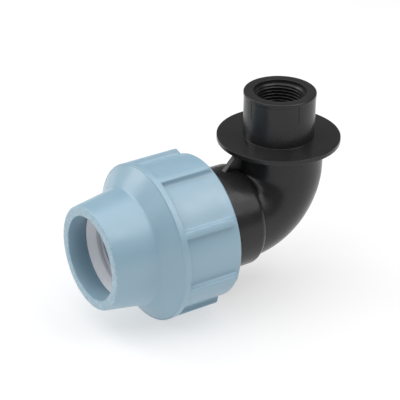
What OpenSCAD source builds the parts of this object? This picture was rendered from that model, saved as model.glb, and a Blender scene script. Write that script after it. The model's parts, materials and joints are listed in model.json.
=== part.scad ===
// Ninety degree elbow for plastic pipe: compression socket with a split grip ring and a ribbed nut
// on the arm, flanged boss with a female parallel pipe thread on the leg.
// Millimetres. The leg points along +Z and the arm along -X. The origin is on the leg's axis,
// where the outlet thread starts at the bottom of its recess.

/* [Pipe and bend] */
// Outside diameter of the pipe
pipe_d = 40; // [38:0.5:42]
// Radial clearance of the pipe in its socket
pipe_gap = 0.3; // [0.25:0.05:0.4]
// Diameter of the water passage
flow_d = 32; // [28:0.5:34]
// Wall of the bend and the leg
tube_wall = 8.3; // [6.5:0.1:9]
// Inside radius of the bend
bend_inner_r = 1; // [0.5:0.25:3]

/* [Pipe socket] */
// Distance from the end of the bend to the full diameter of the neck
neck_lead = 3.1; // [1:0.1:5]
// Length of the neck up to the thread for the nut
neck_l = 23.6; // [22:0.1:30]
// Wall of the neck
neck_wall = 7.4; // [6:0.1:9]
// Radius of the rounded rear end of the neck
neck_round = 4.3; // [2:0.1:8]
// Distance from the neck's start to the stop that the pipe meets
stop_depth = 1; // [0:0.5:3]
// Diameter over the thread for the nut
socket_thread_d = 68.4; // [66:0.2:70]
// Length of the thread for the nut
socket_thread_l = 34; // [30:0.5:38]
// Chamfer at the socket mouth
socket_chamfer = 1.2; // [0.5:0.1:2]
// Depth of the chamber for the seal and the bush
chamber_l = 24; // [20:0.5:28]

/* [Outlet] */
// Height of the flange's underside above the arm's axis
leg_rise = 38; // [36:0.5:44]
// Diameter of the flange
flange_d = 66; // [60:0.5:72]
// Thickness of the flange
flange_t = 2.6; // [2:0.1:4]
// Rounding of the flange's edges
flange_round = 0.7; // [0.3:0.1:0.9]
// Height of the boss above the flange
boss_h = 25.2; // [22:0.2:30]
// Diameter of the boss
boss_d = 38.1; // [35:0.1:38.3]
// Radius of the fillet at the boss's foot
boss_fillet = 2; // [1:0.5:6]
// Diameter of the lip around the outlet
lip_d = 38.6; // [38.4:0.1:40]
// Height of the lip
lip_h = 2; // [1:0.1:4]
// Rounding of the lip's top edge
lip_round = 0.6; // [0.3:0.1:1]
// Minor diameter of the outlet thread
outlet_minor_d = 24.12; // [23.6:0.04:24.6]
// Length of the outlet thread
outlet_thread_l = 20; // [16:0.5:22]
// Diameter of the recess in front of the thread
outlet_recess_d = 28; // [26.6:0.1:29]
// Depth of the recess
outlet_recess_depth = 2; // [1:0.1:3]
// Diameter of the throat under the outlet thread
throat_d = 23.2; // [21:0.2:23.4]
// Length of the throat
throat_l = 4; // [2:0.5:5]

/* [Gusset] */
// Thickness of the gusset between neck and flange
gusset_t = 3.3; // [2:0.1:5]
// Distance of the gusset's slope from the leg's axis, at the height of the flange's underside
gusset_reach = 24.9; // [22:0.1:30]

/* [Nut] */
// Wall of the ribbed skirt
skirt_wall = 4.4; // [3.6:0.1:6]
// Length of the ribbed skirt
skirt_l = 32.6; // [30:0.2:36]
// How far the skirt reaches behind the thread
skirt_cover = 3; // [1:0.5:5]
// Width of the collar in front of the skirt
collar_w = 3.7; // [2:0.1:5]
// Height of the collar's front edge above the shoulder
collar_step = 0.8; // [0.5:0.1:1.2]
// Length of the sloping shoulder
shoulder_l = 8.1; // [7:0.1:12]
// Length of the nose
nose_l = 23.1; // [21:0.1:26]
// Taper of the nose, in degrees
nose_taper = 9; // [6:0.5:10]
// Fillet between nose and shoulder
shoulder_fillet = 2.5; // [1:0.5:4]
// Rounding of the nut's outer edges
nut_round = 1; // [0.5:0.1:1.5]
// Radial gap between pipe and nut mouth
mouth_gap = 2.4; // [2:0.1:3]
// Wall of the nut at its mouth
mouth_wall = 5.2; // [4.5:0.1:6]
// Length of the straight land in the mouth
mouth_land = 6.7; // [4:0.1:8]
// Angle of the inner cone that closes the grip ring
cone_angle = 20; // [18:0.5:22]
// Radial gap between the nut's thread and the socket's
thread_gap = 0.3; // [0.3:0.05:0.5]

/* [Ribs] */
// Number of ribs
rib_count = 8; // [6:1:12]
// Height of the ribs above the skirt
rib_h = 3.2; // [2:0.1:3.6]
// Width of the ribs
rib_w = 3.6; // [2.5:0.1:5]
// Fillet at the foot of the ribs
rib_foot = 1.2; // [0.6:0.1:1.5]
// Distance of the ribs' tails from the rear rim
rib_tail = 1.6; // [1:0.1:3]
// Angle between the first rib and the top
rib_phase = -16; // [-22:1:22]

/* [Grip ring, bush and seal] */
// Distance from the mouth's land to the front of the grip ring
ring_recess = 3.8; // [3:0.1:6]
// Running gap between the grip ring and its neighbours
ring_gap = 0.3; // [0.2:0.05:0.5]
// Radial gap between pipe and grip ring
ring_bore_gap = 0.6; // [0.5:0.05:0.8]
// Depth of the lead-in at the front of the grip ring
ring_lead = 2.4; // [1:0.1:3]
// Length of the plain land behind the lead-in
ring_land = 4.6; // [3:0.1:6]
// Pitch of the gripping teeth
tooth_pitch = 2; // [1.5:0.1:3]
// Depth of the gripping teeth
tooth_h = 1.1; // [0.5:0.1:1.3]
// Width of the slit through the grip ring
slit_w = 5; // [3:0.5:8]
// Angle between the slit and the top
slit_angle = -60; // [-75:5:-45]
// Thickness of the bush's flange
bush_flange_t = 3; // [2:0.1:4]
// How far the bush's flange overlaps the socket mouth
bush_lap = 3; // [2:0.1:3.5]
// Radial gap between pipe and bush
bush_gap = 0.5; // [0.4:0.05:0.6]
// Cross-section diameter of the seal
seal_cs = 4.6; // [4.2:0.1:5]
// Radial gap between pipe and seal
seal_gap = 0.45; // [0.4:0.05:0.6]
// Clearance around seal and bush in the chamber
chamber_gap = 0.2; // [0.1:0.05:0.3]

/* [Hidden] */
$fn = 96;
arc_steps = 10;
overlap = 1;

pipe_r = pipe_d / 2;
flow_r = flow_d / 2;
tube_r = flow_r + tube_wall;
bend_r = tube_r + bend_inner_r;

outlet_minor_r = outlet_minor_d / 2;
outlet_recess_r = outlet_recess_d / 2;
throat_r = throat_d / 2;
boss_r = boss_d / 2;
lip_r = lip_d / 2;
flange_r = flange_d / 2;
flange_top = leg_rise + flange_t;
outlet_face = flange_top + boss_h;
thread_top = outlet_face - outlet_recess_depth;
thread_bottom = thread_top - outlet_thread_l;

socket_r = pipe_r + pipe_gap;
neck_start = bend_r + neck_lead;
neck_r = socket_r + neck_wall;
stop_at = neck_start + stop_depth;
thread_start = neck_start + neck_l;
socket_mouth = thread_start + socket_thread_l;
chamber_start = socket_mouth - chamber_l;
socket_thread_r = socket_thread_d / 2;

seal_r = pipe_r + seal_gap + seal_cs / 2;
chamber_r = seal_r + seal_cs / 2 + chamber_gap;
seal_at = chamber_start + chamber_gap + seal_cs / 2;
bush_end = seal_at + seal_cs / 2 + chamber_gap;
bush_r = pipe_r + bush_gap;
bush_front = socket_mouth + bush_flange_t;

nut_bore_r = socket_thread_r + thread_gap;
skirt_r = nut_bore_r + skirt_wall;
nut_r = skirt_r + rib_h;
nut_rear = thread_start - skirt_cover;
collar_rear = nut_rear + skirt_l;
collar_front = collar_rear + collar_w;
nose_rear = collar_front + shoulder_l;
nut_front = nose_rear + nose_l;
mouth_r = pipe_r + mouth_gap;
nose_r = mouth_r + mouth_wall;
land_rear = nut_front - mouth_land;
cone_rear = socket_mouth + bush_flange_t / 2;
nut_thread_end = cone_rear - 1;

ring_front = land_rear - ring_recess;
ring_rear = bush_front + ring_gap;
ring_r = pipe_r + ring_bore_gap;
teeth_front = ring_front - ring_lead - ring_land;
tooth_count = floor((teeth_front - ring_rear - tooth_pitch / 2) / tooth_pitch);

// Radius of the nose's cone and of the inner cone, at a distance from the leg's axis
function nose_at(s) = nose_r + tan(nose_taper) * (nut_front - s);
function cone_at(s) = mouth_r + tan(cone_angle) * (land_rear - s);

// Points of an arc around a centre
function arc(c, r, from, to) =
    [for (i = [0:arc_steps]) c + r * [cos(from + (to - from) * i / arc_steps),
                                      sin(from + (to - from) * i / arc_steps)]];

// Stands a shape that is modelled along +Z on the arm's axis, pointing away from the leg
module along_arm() {
    rotate([0, -90, 0]) children();
}

// Quarter turn of a round section, from the arm's axis up to the leg's
module quarter_bend(r) {
    translate([-bend_r, 0, bend_r])
        rotate([90, 0, 0])
            rotate([0, 0, -90])
                rotate_extrude(angle = 90)
                    translate([bend_r, 0])
                        circle(r);
}

module socket_outside() {
    along_arm()
        rotate_extrude()
            polygon(concat(
                [[0, neck_start - neck_round]],
                arc([neck_r - neck_round, neck_start], neck_round, -90, 0),
                [
                    [neck_r, thread_start],
                    [socket_thread_r - socket_chamfer, thread_start],
                    [socket_thread_r, thread_start + socket_chamfer],
                    [socket_thread_r, socket_mouth - socket_chamfer],
                    [socket_thread_r - socket_chamfer, socket_mouth],
                    [0, socket_mouth]
                ]));
}

module socket_bore() {
    along_arm()
        rotate_extrude()
            polygon([
                [0, bend_r - overlap],
                [flow_r - overlap, bend_r - overlap],
                [flow_r - overlap, bend_r],
                [flow_r, bend_r],
                [flow_r, stop_at],
                [socket_r, stop_at],
                [socket_r, chamber_start],
                [chamber_r, chamber_start],
                [chamber_r, socket_mouth + overlap],
                [0, socket_mouth + overlap]
            ]);
}

module leg_outside() {
    fillet_c = [boss_r + boss_fillet, flange_top + boss_fillet];
    rotate_extrude()
        polygon(concat(
            [
                [0, bend_r - overlap],
                [tube_r - overlap, bend_r - overlap],
                [tube_r - overlap, bend_r],
                [tube_r, bend_r],
                [tube_r, leg_rise]
            ],
            arc([flange_r - flange_round, leg_rise + flange_round], flange_round, -90, 0),
            arc([flange_r - flange_round, flange_top - flange_round], flange_round, 0, 90),
            arc(fillet_c, boss_fillet, 270, 180),
            [[boss_r, outlet_face - lip_h], [lip_r, outlet_face - lip_h]],
            arc([lip_r - lip_round, outlet_face - lip_round], lip_round, 0, 90),
            [[0, outlet_face]]));
}

module leg_bore() {
    cone_bottom = thread_bottom - throat_l - (flow_r - throat_r);
    rotate_extrude()
        polygon([
            [0, bend_r - overlap],
            [flow_r - overlap, bend_r - overlap],
            [flow_r - overlap, bend_r],
            [flow_r, bend_r],
            [flow_r, cone_bottom],
            [throat_r, thread_bottom - throat_l],
            [throat_r, thread_bottom],
            [outlet_minor_r, thread_bottom],
            [outlet_minor_r, thread_top],
            [outlet_recess_r, thread_top],
            [outlet_recess_r, outlet_face + overlap],
            [0, outlet_face + overlap]
        ]);
}

module gusset() {
    neck_top = neck_r - overlap;
    slope_foot = gusset_reach + leg_rise - neck_top;
    rotate([90, 0, 0])
        linear_extrude(gusset_t, center = true)
            polygon([
                [-slope_foot, neck_top],
                [-gusset_reach - overlap, leg_rise - overlap],
                [-gusset_reach - overlap, leg_rise + overlap],
                [-flow_r - overlap, leg_rise + overlap],
                [-flow_r - overlap, neck_top]
            ]);
}

module elbow_body() {
    color([0.16, 0.16, 0.17])
        translate([0, 0, -thread_top])
            difference() {
                union() {
                    socket_outside();
                    quarter_bend(tube_r);
                    leg_outside();
                    gusset();
                }
                socket_bore();
                quarter_bend(flow_r);
                leg_bore();
            }
}

// Wall of the nut without its ribs, as one closed profile
module nut_shell() {
    shoulder_r = nut_r - collar_step;
    tilt = atan((shoulder_r - nose_at(nose_rear)) / shoulder_l);
    turn = tilt - nose_taper;
    reach = shoulder_fillet * tan(turn / 2);
    corner = [nose_at(nose_rear), nose_rear];
    fillet_c = corner + reach * [-sin(nose_taper), cos(nose_taper)]
        + shoulder_fillet * [cos(nose_taper), sin(nose_taper)];
    rotate_extrude()
        polygon(concat(
            [[nut_bore_r, nut_rear + nut_round / 2], [nut_bore_r + nut_round / 2, nut_rear]],
            arc([skirt_r - nut_round, nut_rear + nut_round], nut_round, -90, 0),
            [[skirt_r, collar_rear]],
            arc([nut_r - nut_round / 2, collar_rear + nut_round / 2], nut_round / 2, -90, 0),
            arc([nut_r - nut_round / 2, collar_front - nut_round / 2], nut_round / 2, 0, 90),
            [[shoulder_r, collar_front]],
            arc(fillet_c, shoulder_fillet, 180 + tilt, 180 + nose_taper),
            arc([nose_at(nut_front - nut_round) - nut_round, nut_front - nut_round],
                nut_round, nose_taper, 90),
            [
                [mouth_r + nut_round / 2, nut_front],
                [mouth_r, nut_front - nut_round / 2],
                [mouth_r, land_rear],
                [cone_at(cone_rear), cone_rear],
                [nut_bore_r, nut_thread_end]
            ]));
}

// Cross-section of one rib with its foot fillets, pointing along +X
module rib_section() {
    foot_y = rib_w / 2 + rib_foot;
    foot_r = skirt_r + rib_foot;
    foot_x = sqrt(foot_r * foot_r - foot_y * foot_y);
    root = skirt_r - overlap;
    translate([root, -rib_w / 2])
        square([nut_r - root + overlap, rib_w]);
    for (side = [-1, 1])
        difference() {
            polygon([
                [root, 0],
                [foot_x, 0],
                [foot_x, side * foot_y],
                [foot_x * skirt_r / foot_r, side * foot_y * skirt_r / foot_r],
                [root, side * rib_w / 2]
            ]);
            translate([foot_x, side * foot_y])
                circle(rib_foot);
        }
}

module ribs() {
    tail = nut_rear + rib_tail;
    intersection() {
        rotate_extrude()
            polygon([
                [skirt_r - 2 * overlap, tail - rib_h / 2],
                [skirt_r, tail],
                [nut_r, tail + rib_h / 2],
                [nut_r, collar_rear + nut_round],
                [skirt_r - 2 * overlap, collar_rear + nut_round]
            ]);
        for (k = [0:rib_count - 1])
            rotate([0, 0, rib_phase + k * 360 / rib_count])
                translate([0, 0, nut_rear])
                    linear_extrude(skirt_l + collar_w)
                        rib_section();
    }
}

module coupling_nut() {
    color([0.62, 0.73, 0.79])
        translate([0, 0, -thread_top])
            along_arm() {
                nut_shell();
                ribs();
            }
}

module grip_ring() {
    root_r = ring_r + tooth_h;
    color([0.86, 0.86, 0.9])
        translate([0, 0, -thread_top])
            along_arm()
                difference() {
                    rotate_extrude()
                        polygon(concat(
                            [
                                [cone_at(ring_rear) - ring_gap, ring_rear],
                                [cone_at(ring_front) - ring_gap, ring_front],
                                [ring_r + ring_lead / 2, ring_front],
                                [ring_r, ring_front - ring_lead],
                                [ring_r, teeth_front]
                            ],
                            [
                                for (k = [0:tooth_count - 1])
                                    for (p = [
                                        [root_r, teeth_front - k * tooth_pitch],
                                        [ring_r, teeth_front - (k + 1) * tooth_pitch]
                                    ]) p
                            ],
                            [[ring_r, ring_rear]]));
                    rotate([0, 0, slit_angle])
                        translate([0, -slit_w / 2, ring_rear - overlap])
                            cube([nut_r, slit_w, ring_front - ring_rear + 2 * overlap]);
                }
}

module thrust_bush() {
    flange_out = chamber_r + bush_lap;
    color([0.2, 0.22, 0.25])
        translate([0, 0, -thread_top])
            along_arm()
                rotate_extrude()
                    polygon([
                        [bush_r, bush_end],
                        [chamber_r - chamber_gap, bush_end],
                        [chamber_r - chamber_gap, socket_mouth],
                        [flange_out, socket_mouth],
                        [flange_out, bush_front],
                        [bush_r, bush_front]
                    ]);
}

module seal_ring() {
    color([0.1, 0.1, 0.1])
        translate([0, 0, -thread_top])
            along_arm()
                translate([0, 0, seal_at])
                    rotate_extrude()
                        translate([seal_r, 0])
                            circle(seal_cs / 2, $fn = 48);
}

elbow_body();
coupling_nut();
grip_ring();
thrust_bush();
seal_ring();
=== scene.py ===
"""Looks of the ninety degree elbow fitting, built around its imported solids."""

import json
import math

import bmesh
import bpy
import numpy as np
from mathutils import Matrix, Vector


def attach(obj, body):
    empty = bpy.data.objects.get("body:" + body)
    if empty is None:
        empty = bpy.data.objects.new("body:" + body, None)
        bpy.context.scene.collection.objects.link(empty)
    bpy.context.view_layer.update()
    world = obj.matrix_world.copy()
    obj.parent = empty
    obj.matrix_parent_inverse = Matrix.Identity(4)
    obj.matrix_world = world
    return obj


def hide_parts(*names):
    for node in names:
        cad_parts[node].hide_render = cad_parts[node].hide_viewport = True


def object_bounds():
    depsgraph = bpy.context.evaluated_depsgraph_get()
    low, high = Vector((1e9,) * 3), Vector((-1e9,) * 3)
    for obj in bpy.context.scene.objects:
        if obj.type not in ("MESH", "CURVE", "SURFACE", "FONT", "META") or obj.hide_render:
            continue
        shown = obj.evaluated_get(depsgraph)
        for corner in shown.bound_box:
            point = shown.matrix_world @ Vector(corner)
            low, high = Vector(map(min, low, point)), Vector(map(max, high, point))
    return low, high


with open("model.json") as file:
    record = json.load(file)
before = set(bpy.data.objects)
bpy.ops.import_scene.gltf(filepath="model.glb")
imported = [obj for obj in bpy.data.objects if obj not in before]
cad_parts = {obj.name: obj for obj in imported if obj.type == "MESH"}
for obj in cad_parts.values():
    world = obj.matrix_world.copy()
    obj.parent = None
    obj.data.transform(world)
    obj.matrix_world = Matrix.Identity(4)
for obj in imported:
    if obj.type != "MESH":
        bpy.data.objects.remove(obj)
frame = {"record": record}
cad_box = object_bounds()

# Lengths are in millimetres and become metres when a mesh is made. A distance called s runs along
# the arm, outwards from the leg's axis; a height is in the frame.
MM = 0.001
TURN = 2 * math.pi
mounts = {m["name"]: m for m in frame["record"]["mounts"]}
ARM_Z = mounts["pipe_socket"]["pos_m"][2] / MM
SOCKET_R = mounts["pipe_socket"]["dims"]["r_mm"]
CHAMBER_S = -mounts["pipe_socket"]["pos_m"][0] / MM
STOP_S = CHAMBER_S - mounts["pipe_socket"]["dims"]["length_mm"]
OUTLET_R = mounts["threaded_outlet"]["dims"]["r_mm"]
OUTLET_L = mounts["threaded_outlet"]["dims"]["length_mm"]

# Columns of points around the pieces
OUTER_COLUMNS = 160
INNER_COLUMNS = 128
RING_COLUMNS = 145

# Body
FLOW_R = 16.0
TUBE_R = 24.0
TUBE_REAR_R = 25.0
BEND_R = 25.3
BEND_L = BEND_R * math.pi / 2
NECK_R = 27.7
NECK_S = 28.4
NECK_ROUND = 4.3
NECK_END_S = 24.15
NECK_FILLET = 0.8
SHOULDER_S = 52.0
SOCKET_MOUTH_S = 86.0
MOUTH_CHAMFER = 0.6
SOCKET_THREAD_R = 34.2
SOCKET_THREAD_ROOT_R = 31.8
CHAMBER_R = 25.25
FLANGE_R = 33.0
FLANGE_T = 2.6
FLANGE_EDGE = 0.3
FLANGE_Z = ARM_Z + 38.0
BOSS_R = 19.05
BOSS_FILLET = 0.3
LIP_R = 19.3
LIP_H = 2.0
LIP_EDGE = 0.8
PAD_COUNT = 4
PAD_W = 2.4
PAD_L = 9.2
PAD_R = 19.35
PAD_EDGE = 0.2
RECESS_R = 14.0
RECESS_EDGE = 0.25
RECESS_FOOT = 0.2
FACE_Z = 2.0
THROAT_R = 11.6
THROAT_L = 4.0
GUSSET_T = 3.3
GUSSET_REACH = 24.9
GUSSET_EDGE = 0.5

# Threads: a pipe thread in the outlet and a coarse one between socket and nut, both right-handed.
# The coarse ridges have a width at the crest and one at the foot.
PIPE_PITCH = 1.814
PIPE_ROOT_R = 13.22
PIPE_CREST_Z = -0.22
PIPE_CREST_AZIMUTH = math.radians(56.6)
NUT_PITCH = 5.0
SOCKET_RIDGE = (1.5, 3.1)
NUT_RIDGE = (1.1, 2.6)
NUT_RUN_OUT = 3.0
SOCKET_FRONT_RUN_OUT = 2.4
SOCKET_REAR_RUN_OUT = 2.0

# Nut
NUT_REAR_S = 49.0
COLLAR_REAR_S = 81.6
COLLAR_FRONT_S = 85.3
COLLAR_STEP = 0.8
NOSE_REAR_S = 93.4
NUT_FRONT_S = 116.5
NUT_R = 42.1
SKIRT_R = 38.9
NUT_BORE_R = 34.5
NUT_CREST_R = 32.3
NUT_THREAD_END_S = 86.5
CONE_REAR_S = 87.5
LAND_REAR_S = 109.8
NUT_MOUTH_R = 22.4
NOSE_R = 27.6
NOSE_TAPER = math.radians(9)
CONE_ANGLE = math.radians(20)
RIB_COUNT = 8
RIB_W = 3.6
RIB_FOOT = 1.2
RIB_EDGE = 0.6
RIB_TAIL_S = 50.6
STEP_ROUND = 0.8
NUT_EDGE = 0.5
NUT_RIM = 1.0
NOSE_FILLET = 2.5
RIB_PHASE = math.radians(-16)

# Grip ring, bush and seal
RING_FRONT_S = 105.0
RING_REAR_S = 89.3
RING_GAP = 0.3
RING_R = 20.6
RING_LEAD = 4.4
RING_EDGE = 0.3
TEETH_FRONT_S = 99.0
TOOTH_PITCH = 2.0
TOOTH_H = 1.1
TOOTH_FLAT = 0.15
SLIT_W = 5.0
SLIT_ANGLE = math.radians(-60)
BUSH_R = 20.5
BUSH_OUT_R = 25.05
BUSH_FLANGE_R = 28.25
BUSH_END_S = 67.0
BUSH_FRONT_S = 89.0
SEAL_R = 22.75
SEAL_S = 64.5
SEAL_SECTION_R = 2.3

SHARP_ANGLE = math.radians(28)
PALE_BLUE = (0.42, 0.56, 0.64)


def arc(centre, radius, start, end, steps=6):
    """Points of an arc, with its angles in degrees."""
    turns = np.radians(np.linspace(start, end, steps + 1))
    return [(centre[0] + radius * math.cos(t), centre[1] + radius * math.sin(t)) for t in turns]


def line(start, end, step):
    """Points from start up to, but not including, end, about a step apart."""
    count = max(1, round(math.dist(start, end) / step))
    return [tuple(np.add(start, np.subtract(end, start) * i / count)) for i in range(count)]


def arm_ring(s, radius, turns):
    """A ring of points around the arm's axis, with its angles counted from the top towards +Y."""
    return np.stack([-s + 0 * turns, radius * np.sin(turns), ARM_Z + radius * np.cos(turns)], -1)


def path_ring(p, radius, turns):
    """A ring around the centre line of bend and leg, at a distance from the bend's first end."""
    bend = min(max(p, 0), BEND_L) / BEND_R
    along = Vector((math.cos(bend), 0, math.sin(bend)))
    inwards = Vector((-math.sin(bend), 0, math.cos(bend)))
    centre = Vector((-BEND_R, 0, ARM_Z + BEND_R)) - BEND_R * inwards
    centre += along * (min(p, 0) + max(p - BEND_L, 0))
    cos, sin = radius * np.cos(turns), radius * np.sin(turns)
    return np.stack([centre.x + cos * inwards.x, sin, centre.z + cos * inwards.z], -1)


def grid_object(name, rows, wrap_columns=True):
    """A closed skin of quads over a loop of rows. Where the columns don't wrap, a face ends each side."""
    rows = np.asarray(rows)
    height, width = rows.shape[:2]
    index = np.arange(height * width).reshape(height, width)
    below = np.roll(index, -1, axis=0)
    quads = np.stack([index, np.roll(index, -1, axis=1), np.roll(below, -1, axis=1), below], -1)
    end_faces = []
    if not wrap_columns:
        quads = quads[:, :-1]
        end_faces = [index[:, 0].tolist(), index[::-1, -1].tolist()]
    faces = quads.reshape(-1, 4).tolist() + end_faces
    return mesh_object(name, (rows.reshape(-1, 3) * MM).tolist(), faces)


def mesh_object(name, points, faces):
    """An object in the scene from points in metres and faces of their indices."""
    mesh = bpy.data.meshes.new(name)
    mesh.from_pydata(points, [], faces)
    tidy_mesh(mesh)
    piece = bpy.data.objects.new(name, mesh)
    bpy.context.scene.collection.objects.link(piece)
    return piece


def tidy_mesh(mesh):
    """Joins points that coincide, turns the faces outwards and shades smoothly between sharp edges."""
    work = bmesh.new()
    work.from_mesh(mesh)
    bmesh.ops.remove_doubles(work, verts=work.verts, dist=1e-7)
    bmesh.ops.recalc_face_normals(work, faces=work.faces)
    work.to_mesh(mesh)
    work.free()
    mesh.shade_smooth()
    mesh.set_sharp_from_angle(angle=SHARP_ANGLE)


def even_turns(count):
    """Angles of evenly spaced columns around a full circle."""
    return np.arange(count) * TURN / count


def soft_clip(value, softness=0.18):
    """Clips to 0..1 with rounded corners, for the crests and roots of a thread."""

    def ramp(x):
        corner = (x + softness) ** 2 / (4 * softness)
        return np.where(x > softness, x, np.where(x < -softness, 0, corner))

    return ramp(value) - ramp(value - 1)


def pipe_thread(z, turns):
    """Wall radius of the outlet's thread: 55 degree flanks with rounded crests and roots."""
    azimuth = np.arctan2(np.sin(turns), -np.cos(turns))
    phase = (z - PIPE_CREST_Z) / PIPE_PITCH - (azimuth - PIPE_CREST_AZIMUTH) / TURN
    away = np.abs((phase + 0.5) % 1 - 0.5) * 2
    crest = soft_clip((0.5 - away) * 1.5 + 0.5)
    fade = min(1, max(0, (z + OUTLET_L) / PIPE_PITCH))
    return PIPE_ROOT_R - (PIPE_ROOT_R - OUTLET_R) * np.maximum(crest, 1 - fade)


def ridge(s, turns, crest_width, foot_width):
    """Height, 0 to 1, of the coarse thread's trapezoid ridge, whose middle passes the top at s = 0."""
    away = np.abs((s / NUT_PITCH - turns / TURN + 0.5) % 1 - 0.5) * NUT_PITCH
    return np.clip((foot_width / 2 - away) / ((foot_width - crest_width) / 2), 0, 1)


def socket_thread(s, turns):
    """Radius of the socket's outside, whose ridge runs out towards both ends of the thread."""
    front, rear = (SOCKET_MOUTH_S - s) / SOCKET_FRONT_RUN_OUT, (s - SHOULDER_S) / SOCKET_REAR_RUN_OUT
    height = (SOCKET_THREAD_R - SOCKET_THREAD_ROOT_R) * max(min(1, front, rear), 0)
    return SOCKET_THREAD_ROOT_R + height * ridge(s, turns, *SOCKET_RIDGE)


def nut_thread(s, turns):
    """Radius of the nut's bore, whose ridge lies half a pitch beside the socket's."""
    front, rear = (NUT_THREAD_END_S - s) / NUT_RUN_OUT, (s - NUT_REAR_S - 0.6) / NUT_RUN_OUT
    height = (NUT_BORE_R - NUT_CREST_R) * max(min(1, front, rear), 0)
    return NUT_BORE_R - height * ridge(s + NUT_PITCH / 2, turns, *NUT_RIDGE)


def nose_at(s):
    """Outer radius of the nut's tapered nose."""
    return NOSE_R + math.tan(NOSE_TAPER) * (NUT_FRONT_S - s)


def cone_at(s):
    """Radius of the cone in the nut that closes the grip ring."""
    return NUT_MOUTH_R + math.tan(CONE_ANGLE) * (LAND_REAR_S - s)


def socket_part():
    """Socket and neck, open towards the bend, as one closed skin around the arm's axis."""
    turns = even_turns(OUTER_COLUMNS)
    row_step = 0.3
    centre = (NECK_S, NECK_R - NECK_ROUND)
    end_turn = math.degrees(math.acos((NECK_S - NECK_END_S) / NECK_ROUND))
    mouth = arm_ring(SOCKET_MOUTH_S, SOCKET_THREAD_ROOT_R - MOUTH_CHAMFER, turns)
    thread = [s for s, _ in line((SOCKET_MOUTH_S - 0.4, 0), (SHOULDER_S, 0), row_step)]
    neck_front_s = SHOULDER_S - NECK_FILLET
    neck = arc((neck_front_s, NECK_R + NECK_FILLET), NECK_FILLET, 0, -90)
    neck += line((neck_front_s, NECK_R), (NECK_S, NECK_R), 6)[1:]
    neck += arc(centre, NECK_ROUND, 90, 180 - end_turn, 14)
    inside = [
        (NECK_END_S, SOCKET_R),
        (CHAMBER_S, SOCKET_R),
        (CHAMBER_S, CHAMBER_R),
        (SOCKET_MOUTH_S - MOUTH_CHAMFER, CHAMBER_R),
        (SOCKET_MOUTH_S, CHAMBER_R + MOUTH_CHAMFER),
    ]
    rows = [mouth] + [arm_ring(s, socket_thread(s, turns), turns) for s in thread]
    rows += [arm_ring(SHOULDER_S, SOCKET_THREAD_ROOT_R, turns)]
    rows += [arm_ring(s, r, turns) for s, r in neck + inside]
    return grid_object("socket", rows)


def pad_columns(turns):
    """Adds columns at the edges of the boss's pads, and says which columns are on a pad."""
    half = math.asin(PAD_W / 2 / PAD_R)
    foot = half + PAD_EDGE / PAD_R
    middles = even_turns(PAD_COUNT)

    def away(angles):
        return np.min(np.abs((angles[:, None] - middles + math.pi) % TURN - math.pi), axis=1)

    # The even columns near a pad's edges give way to the edges' own
    kept = turns[(away(turns) > 1.3 * foot) | (away(turns) < 0.2 * half)]
    edges = [m + side for m in middles for side in (-foot, -half, half, foot)]
    turns = np.sort(np.concatenate([kept, np.mod(edges, TURN)]))
    return turns, away(turns) < 1.001 * half


def leg_part():
    """Bend, leg, flange and boss with the threaded outlet, as one closed skin."""
    turns, on_pad = pad_columns(even_turns(OUTER_COLUMNS))
    leg_p = BEND_L - ARM_Z - BEND_R
    start_p = BEND_R - STOP_S
    flange_top = FLANGE_Z + FLANGE_T
    edge = FLANGE_EDGE
    outside = [(start_p, TUBE_REAR_R)] + line((0, TUBE_REAR_R), (BEND_L, TUBE_R), 0.9)
    outside += line((BEND_L, TUBE_R), (leg_p + FLANGE_Z - edge, TUBE_R), 6)
    outside += arc((leg_p + FLANGE_Z - edge, TUBE_R + edge), edge, -90, 0)
    outside += arc((leg_p + FLANGE_Z + edge, FLANGE_R - edge), edge, 180, 90)
    outside += arc((leg_p + flange_top - edge, FLANGE_R - edge), edge, 90, 0)
    outside += arc((leg_p + flange_top + BOSS_FILLET, BOSS_R + BOSS_FILLET), BOSS_FILLET, 180, 270, 4)
    lip_z = FACE_Z - LIP_H
    outside += [(leg_p + lip_z - PAD_L - PAD_EDGE, BOSS_R)]
    padded = [
        (leg_p + lip_z - PAD_L, BOSS_R),
        (leg_p + lip_z - PAD_EDGE, BOSS_R),
        (leg_p + lip_z, BOSS_R + PAD_EDGE),
        (leg_p + lip_z + PAD_EDGE, LIP_R),
    ]
    rim = arc((leg_p + FACE_Z - LIP_EDGE, LIP_R - LIP_EDGE), LIP_EDGE, 90, 0)
    rim += arc((leg_p + FACE_Z - RECESS_EDGE, RECESS_R + RECESS_EDGE), RECESS_EDGE, 0, -90, 4)
    rim += arc((leg_p + RECESS_FOOT, RECESS_R - RECESS_FOOT), RECESS_FOOT, 90, 180, 3)
    row_step = 0.11
    heights = [z for z, _ in line((0, 0), (-OUTLET_L, 0), row_step)]
    throat_z = -OUTLET_L - THROAT_L
    inside = [
        (leg_p - OUTLET_L, THROAT_R),
        (leg_p + throat_z, THROAT_R),
        (leg_p + throat_z - FLOW_R + THROAT_R, FLOW_R),
    ]
    inside += line((BEND_L, FLOW_R), (0, FLOW_R), 2)
    inside += [(0, FLOW_R), (start_p + MOUTH_CHAMFER, FLOW_R), (start_p, FLOW_R + MOUTH_CHAMFER)]
    rows = [path_ring(p, r, turns) for p, r in outside]
    rows += [path_ring(p, np.where(on_pad, PAD_R, r), turns) for p, r in padded]
    rows += [path_ring(p, r, turns) for p, r in rim]
    for z in heights:
        lead_in = PIPE_ROOT_R + z
        rows.append(path_ring(leg_p + z, np.maximum(lead_in, pipe_thread(z, turns)), turns))
    rows += [path_ring(p, r, turns) for p, r in inside]
    return grid_object("leg", rows)


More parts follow.
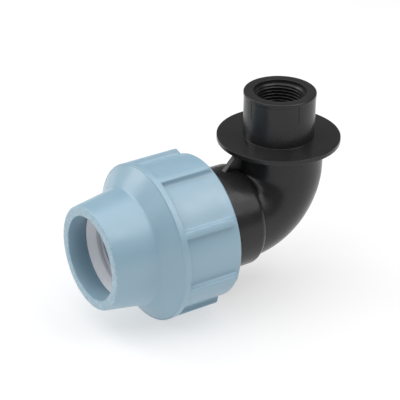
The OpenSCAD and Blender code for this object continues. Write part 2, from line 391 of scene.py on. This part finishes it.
def gusset_part():
    """Plate between neck and flange, sunk into both and the leg, with its slope's edges rounded."""
    in_neck, in_flange, in_leg, in_bend = 1.2, 1, 2, 3
    slope_z = ARM_Z + NECK_R - in_neck
    slope_x = -GUSSET_REACH - (FLANGE_Z - slope_z)
    top_x, top_z = -GUSSET_REACH - GUSSET_EDGE, FLANGE_Z + in_flange
    foot_x, foot_z = -TUBE_R + in_leg, ARM_Z + TUBE_R - in_bend
    outline = [
        (slope_x, slope_z),
        (top_x, FLANGE_Z - GUSSET_EDGE),
        (top_x, top_z),
        (foot_x, top_z),
        (foot_x, foot_z),
        (-NECK_S, foot_z),
    ]
    sides = [-GUSSET_T / 2, GUSSET_T / 2]
    points = [(x * MM, y * MM, z * MM) for y in sides for x, z in outline]
    count = len(outline)
    faces = [list(range(count)), list(range(2 * count - 1, count - 1, -1))]
    faces += [[i, (i + 1) % count, (i + 1) % count + count, i + count] for i in range(count)]
    piece = mesh_object("gusset", points, faces)
    work = bmesh.new()
    work.from_mesh(piece.data)
    slope = [e for e in work.edges if {v.index % count for v in e.verts} == {0, 1}]
    bmesh.ops.bevel(work, geom=slope, offset=GUSSET_EDGE * MM, segments=3, affect="EDGES", profile=0.5)
    work.to_mesh(piece.data)
    work.free()
    return piece


def joined(name, base, *others):
    """The union of closed meshes, as one mesh."""
    for other in others:
        union = base.modifiers.new("union", "BOOLEAN")
        union.operation = "UNION"
        union.solver = "EXACT"
        union.object = other
    graph = bpy.context.evaluated_depsgraph_get()
    mesh = bpy.data.meshes.new_from_object(base.evaluated_get(graph))
    mesh.name = name
    for old in (base, *others):
        bpy.data.objects.remove(old)
    tidy_mesh(mesh)
    piece = bpy.data.objects.new(name, mesh)
    bpy.context.scene.collection.objects.link(piece)
    return piece


def nut_columns():
    """Angle of each column of the nut's skin and its share of the ribs' height."""
    rib_h = NUT_R - SKIRT_R
    half = RIB_W / 2
    right = [(half + RIB_FOOT - y, RIB_FOOT - h) for y, h in arc((0, 0), RIB_FOOT, 90, 0, 4)]
    right += arc((half - RIB_EDGE, rib_h - RIB_EDGE), RIB_EDGE, 0, 90, 4)
    whole = right + [(0, rib_h)] + [(-y, h) for y, h in right[::-1]]
    turns, shares = [], []
    foot = math.asin(whole[0][0] / SKIRT_R)
    for k in range(RIB_COUNT):
        middle = RIB_PHASE + k * TURN / RIB_COUNT
        for y, h in whole[::-1]:
            turns.append(middle + math.asin(y / (SKIRT_R + h)))
            shares.append(h / rib_h)
        gap = TURN / RIB_COUNT - 2 * foot
        gap_parts = 10
        for i in range(1, gap_parts):
            turns.append(middle + foot + gap * i / gap_parts)
            shares.append(0)
    return np.array(turns), np.array(shares)


def nut_part():
    """Ribbed nut as one closed skin: skirt, ribs, collar, shoulder, nose, mouth, cone and thread."""
    turns, shares = nut_columns()
    shoulder_r = NUT_R - COLLAR_STEP
    tilt = math.degrees(math.atan2(shoulder_r - nose_at(NOSE_REAR_S), NOSE_REAR_S - COLLAR_FRONT_S))
    taper = math.degrees(NOSE_TAPER)
    reach = NOSE_FILLET * math.tan(math.radians(tilt - taper) / 2)
    fillet_centre = (
        NOSE_REAR_S + reach * math.cos(NOSE_TAPER) + NOSE_FILLET * math.sin(NOSE_TAPER),
        nose_at(NOSE_REAR_S) - reach * math.sin(NOSE_TAPER) + NOSE_FILLET * math.cos(NOSE_TAPER),
    )
    root, edge, rim = STEP_ROUND, NUT_EDGE, NUT_RIM
    skirt = arc((NUT_REAR_S + edge, NUT_BORE_R + edge), edge, -90, -180, 4)
    skirt += arc((NUT_REAR_S + rim, SKIRT_R - rim), rim, 180, 90)
    rows = [arm_ring(s, r, turns) for s, r in skirt]
    tail_h = NUT_R - SKIRT_R
    tail_shares = [(0, 0), (0.45, 0.9), (0.62, 1)]
    tail = [(RIB_TAIL_S + along * tail_h, up * tail_h) for along, up in tail_shares]
    tail += [(s, tail_h) for s in (60, 70, COLLAR_REAR_S - root - 0.4)]
    rows += [arm_ring(s, SKIRT_R + h * shares, turns) for s, h in tail]
    step = arc((COLLAR_REAR_S - root, SKIRT_R + root), root, -90, 0)
    step += arc((COLLAR_REAR_S + edge, NUT_R - edge), edge, 180, 90)
    rows += [arm_ring(s, r + (NUT_R - r) * shares, turns) for s, r in step]
    front = arc((COLLAR_FRONT_S - edge, NUT_R - edge), edge, 90, 0)
    front += [(COLLAR_FRONT_S, shoulder_r)]
    front += arc(fillet_centre, NOSE_FILLET, -90 - tilt, -90 - taper, 8)
    rim_s = NUT_FRONT_S - rim
    nose_start_s, nose_end_s = NOSE_REAR_S + 3, rim_s - 1
    front += line((nose_start_s, nose_at(nose_start_s)), (nose_end_s, nose_at(nose_end_s)), 4)
    front += arc((rim_s, nose_at(rim_s) - rim), rim, 90 - taper, 0)
    front += arc((NUT_FRONT_S - edge, NUT_MOUTH_R + edge), edge, 0, -90, 4)
    front += [
        (LAND_REAR_S, NUT_MOUTH_R),
        (CONE_REAR_S, cone_at(CONE_REAR_S)),
        (NUT_THREAD_END_S, NUT_BORE_R),
    ]
    rows += [arm_ring(s, r, turns) for s, r in front]
    row_step = 0.35
    thread = [s for s, _ in line((NUT_THREAD_END_S - 0.3, 0), (NUT_REAR_S + 0.7, 0), row_step)]
    rows += [arm_ring(s, nut_thread(s, turns), turns) for s in thread]
    return grid_object("nut", rows)


def grip_ring_part():
    """Split ring: closed profile with teeth, swept from one side of the slit to the other."""
    teeth = []
    count = int((TEETH_FRONT_S - RING_REAR_S - TOOTH_PITCH / 2) / TOOTH_PITCH)
    for k in range(count):
        tooth_s = TEETH_FRONT_S - k * TOOTH_PITCH
        next_s = TEETH_FRONT_S - (k + 1) * TOOTH_PITCH
        teeth += [(tooth_s, RING_R + TOOTH_H), (next_s + TOOTH_FLAT, RING_R), (next_s, RING_R)]

    def outside_at(s):
        return cone_at(s) - RING_GAP

    edge = RING_EDGE
    front_r = outside_at(RING_FRONT_S)
    profile = [(RING_REAR_S, outside_at(RING_REAR_S) - edge)]
    profile += [(RING_REAR_S + edge, outside_at(RING_REAR_S + edge))]
    profile += line((RING_REAR_S + 2, outside_at(RING_REAR_S + 2)), (RING_FRONT_S - 0.4, front_r), 4)
    profile += arc((RING_FRONT_S - edge, front_r - edge), edge, 70, -55, 5)
    profile += [(RING_FRONT_S - RING_LEAD, RING_R), (TEETH_FRONT_S, RING_R)] + teeth
    profile += [(RING_REAR_S, RING_R)]
    share = np.linspace(0, 1, RING_COLUMNS)
    rows = []
    for s, r in profile:
        half = math.asin(SLIT_W / 2 / r)
        rows.append(arm_ring(s, r, SLIT_ANGLE + half + share * (TURN - 2 * half)))
    return grid_object("ring", rows, wrap_columns=False)


def bush_part():
    """Flanged bush with chamfers at its end, its flange and the pipe's side."""
    turns = even_turns(INNER_COLUMNS)
    end, flange, lead = 0.4, 0.3, 0.5
    profile = [
        (BUSH_END_S, BUSH_R + end),
        (BUSH_END_S, BUSH_OUT_R - end),
        (BUSH_END_S + end, BUSH_OUT_R),
        (SOCKET_MOUTH_S, BUSH_OUT_R),
        (SOCKET_MOUTH_S, BUSH_FLANGE_R - flange),
        (SOCKET_MOUTH_S + flange, BUSH_FLANGE_R),
        (BUSH_FRONT_S - flange, BUSH_FLANGE_R),
        (BUSH_FRONT_S, BUSH_FLANGE_R - flange),
        (BUSH_FRONT_S, BUSH_R + lead),
        (BUSH_FRONT_S - lead, BUSH_R),
        (BUSH_END_S + end, BUSH_R),
    ]
    return grid_object("bush", [arm_ring(s, r, turns) for s, r in profile])


def seal_part():
    """Round rubber ring in the chamber."""
    turns = even_turns(INNER_COLUMNS)
    section = arc((SEAL_S, SEAL_R), SEAL_SECTION_R, 0, 360, 32)[:-1]
    return grid_object("seal", [arm_ring(s, r, turns) for s, r in section])


def camera():
    """The photograph's view: its distance, turn and framing, found from the outlines of the object."""
    azimuth, elevation, roll = (math.radians(a) for a in (-33.43, 28.5, 0.69))
    distance, leftwards, upwards = 876.0, 41.29, 0.37
    back = Vector((
        math.sin(azimuth) * math.cos(elevation),
        -math.cos(azimuth) * math.cos(elevation),
        math.sin(elevation),
    ))
    level = Vector((math.cos(azimuth), math.sin(azimuth), 0))
    upright = back.cross(level)
    right = level * math.cos(roll) + upright * math.sin(roll)
    up = upright * math.cos(roll) - level * math.sin(roll)
    place = Vector((0, 0, ARM_Z)) + back * distance - right * leftwards + up * upwards
    data = bpy.data.cameras.new("camera")
    data.lens = 145.07
    data.sensor_width = 36
    data.clip_start = 0.05
    data.clip_end = 20
    view = bpy.data.objects.new("camera", data)
    axes = Matrix((right, up, back)).transposed()
    view.matrix_world = Matrix.Translation(place * MM) @ axes.to_4x4()
    bpy.context.scene.collection.objects.link(view)
    bpy.context.scene.camera = view


def softbox(name, azimuth, height, distance, size, radiance):
    """A soft light that faces the part. Its angles are in degrees, its azimuth from +X towards +Y."""
    middle_of_part = Vector((-0.05, 0, -0.06))
    data = bpy.data.lights.new(name, "AREA")
    data.shape = "RECTANGLE"
    data.size, data.size_y = size
    data.energy = radiance * math.pi * size[0] * size[1]
    lamp = bpy.data.objects.new(name, data)
    azimuth, height = math.radians(azimuth), math.radians(height)
    away = Vector((
        math.cos(height) * math.cos(azimuth),
        math.cos(height) * math.sin(azimuth),
        math.sin(height),
    )) * distance
    turn = (-away).to_track_quat("-Z", "Y").to_matrix().to_4x4()
    lamp.matrix_world = Matrix.Translation(middle_of_part + away) @ turn
    bpy.context.scene.collection.objects.link(lamp)


def studio():
    """Pale glowing floor, as on a light table, with softboxes around it in a dim room."""
    floor_z = cad_box[0].z
    half, paper, glow, room = 6, 0.45, 0.54, 0.2
    corners = [(-half, -half), (half, -half), (half, half), (-half, half)]
    floor = mesh_object("floor", [(x, y, floor_z) for x, y in corners], [[0, 1, 2, 3]])
    material = bpy.data.materials.new("floor_paper")
    material.use_nodes = True
    shader = material.node_tree.nodes["Principled BSDF"]
    shader.inputs["Base Color"].default_value = (paper, paper, paper, 1)
    shader.inputs["Roughness"].default_value = 0.9
    shader.inputs["Specular IOR Level"].default_value = 0
    shader.inputs["Emission Color"].default_value = (1, 1, 1, 1)
    shader.inputs["Emission Strength"].default_value = glow
    floor.data.materials.append(material)
    world = bpy.data.worlds.new("studio")
    world.use_nodes = True
    background = world.node_tree.nodes["Background"]
    background.inputs["Color"].default_value = (1, 1, 1, 1)
    background.inputs["Strength"].default_value = room
    bpy.context.scene.world = world
    bpy.context.scene.view_settings.view_transform = "Standard"
    softbox("overhead", 0, 90, 1.2, (1.7, 1.7), 1.6)
    softbox("front", -50, 44, 1.0, (0.6, 0.8), 1.8)
    softbox("rear", 124, 32, 1.0, (0.42, 0.7), 3.1)
    softbox("left", 180, 42, 1.0, (0.6, 0.55), 1.6)


class Shader:
    """A material with a Principled shader and short helpers for its nodes."""

    def __init__(self, name):
        self.material = bpy.data.materials.new(name)
        self.material.use_nodes = True
        self.tree = self.material.node_tree
        self.principled = self.tree.nodes["Principled BSDF"]
        self.place = self.node("ShaderNodeTexCoord").outputs["Object"]

    def node(self, kind, **settings):
        node = self.tree.nodes.new(kind)
        for key, value in settings.items():
            setattr(node, key, value)
        return node

    def feed(self, socket, value):
        if isinstance(value, bpy.types.NodeSocket):
            self.tree.links.new(value, socket)
        else:
            socket.default_value = value

    def noise(self, scale, detail=3.0, rough=0.5):
        node = self.node("ShaderNodeTexNoise")
        self.feed(node.inputs["Vector"], self.place)
        self.feed(node.inputs["Scale"], scale)
        self.feed(node.inputs["Detail"], detail)
        self.feed(node.inputs["Roughness"], rough)
        return node.outputs["Fac"]

    def ramp(self, value, low, high, start=0.0, end=1.0):
        node = self.node("ShaderNodeMapRange")
        self.feed(node.inputs["Value"], value)
        self.feed(node.inputs["From Min"], start)
        self.feed(node.inputs["From Max"], end)
        self.feed(node.inputs["To Min"], low)
        self.feed(node.inputs["To Max"], high)
        return node.outputs["Result"]

    def mix(self, amount, first, second):
        node = self.node("ShaderNodeMix", data_type="RGBA")
        self.feed(node.inputs["Factor"], amount)
        self.feed(node.inputs[6], first)
        self.feed(node.inputs[7], second)
        return node.outputs[2]

    def bump(self, height, strength, distance, under=None):
        node = self.node("ShaderNodeBump")
        self.feed(node.inputs["Height"], height)
        self.feed(node.inputs["Strength"], strength)
        self.feed(node.inputs["Distance"], distance)
        if under:
            self.feed(node.inputs["Normal"], under)
        return node.outputs["Normal"]

    def set(self, **values):
        for key, value in values.items():
            self.feed(self.principled.inputs[key.replace("_", " ")], value)


def moulded(name, colour, shade, roughness, gloss=0.5, torn_s=None):
    """Satin moulded plastic: faint clouds, fine grain, uneven gloss and, from torn_s on, a torn face."""
    shader = Shader(name)
    clouds = shader.ramp(shader.noise(scale=45, detail=4), 0, 1, 0.35, 0.65)
    base = shader.mix(clouds, (*shade, 1), (*colour, 1))
    grain = shader.noise(scale=900, detail=3, rough=0.6)
    relief = shader.bump(grain, strength=0.25, distance=0.2 * MM)
    if torn_s:
        border = 0.3
        axes = shader.node("ShaderNodeSeparateXYZ")
        shader.feed(axes.inputs["Vector"], shader.place)
        torn = shader.ramp(axes.outputs["X"], 0, 0.9, (border - torn_s) * MM, (-border - torn_s) * MM)
        flecks = shader.noise(scale=700, detail=2, rough=0.7)
        relief = shader.bump(flecks, strength=torn, distance=0.4 * MM, under=relief)
        base = shader.mix(shader.ramp(flecks, 0, torn, 0.5, 0.66), base, (*PALE_BLUE, 1))
    wear = shader.noise(scale=120, detail=5)
    shader.set(
        Base_Color=base,
        Roughness=shader.ramp(wear, roughness - 0.06, roughness + 0.08, 0.3, 0.7),
        Specular_IOR_Level=gloss,
        Normal=relief,
    )
    return shader.material


def dress(piece, node, body, material):
    """Gives a piece its one material, hangs it under its body's empty and hides the imported node it
    stands for.
    """
    piece.data.materials.clear()
    piece.data.materials.append(material)
    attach(piece, body)
    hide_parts(node)


camera()
studio()

black = moulded("black_plastic", (0.018, 0.018, 0.019), (0.016, 0.016, 0.017), 0.25, 0.35)
blue = moulded("blue_plastic", (0.27, 0.42, 0.52), (0.255, 0.405, 0.505), 0.34, 1.0, NUT_FRONT_S - 0.6)
white = moulded("white_plastic", (0.85, 0.85, 0.89), (0.81, 0.81, 0.86), 0.45)
grey = moulded("grey_plastic", (0.05, 0.055, 0.06), (0.045, 0.05, 0.055), 0.45)
rubber = moulded("seal_rubber", (0.012, 0.012, 0.012), (0.018, 0.018, 0.018), 0.6)

body = joined("body_moulding", socket_part(), leg_part(), gusset_part())
dress(body, "elbow_body", "fitting_body", black)
nut = nut_part()
nut.name = "nut_moulding"
dress(nut, "coupling_nut", "nut", blue)
dress(grip_ring_part(), "grip_ring", "ring_carrier", white)
dress(bush_part(), "thrust_bush", "fitting_body", grey)
dress(seal_part(), "seal_ring", "fitting_body", rubber)
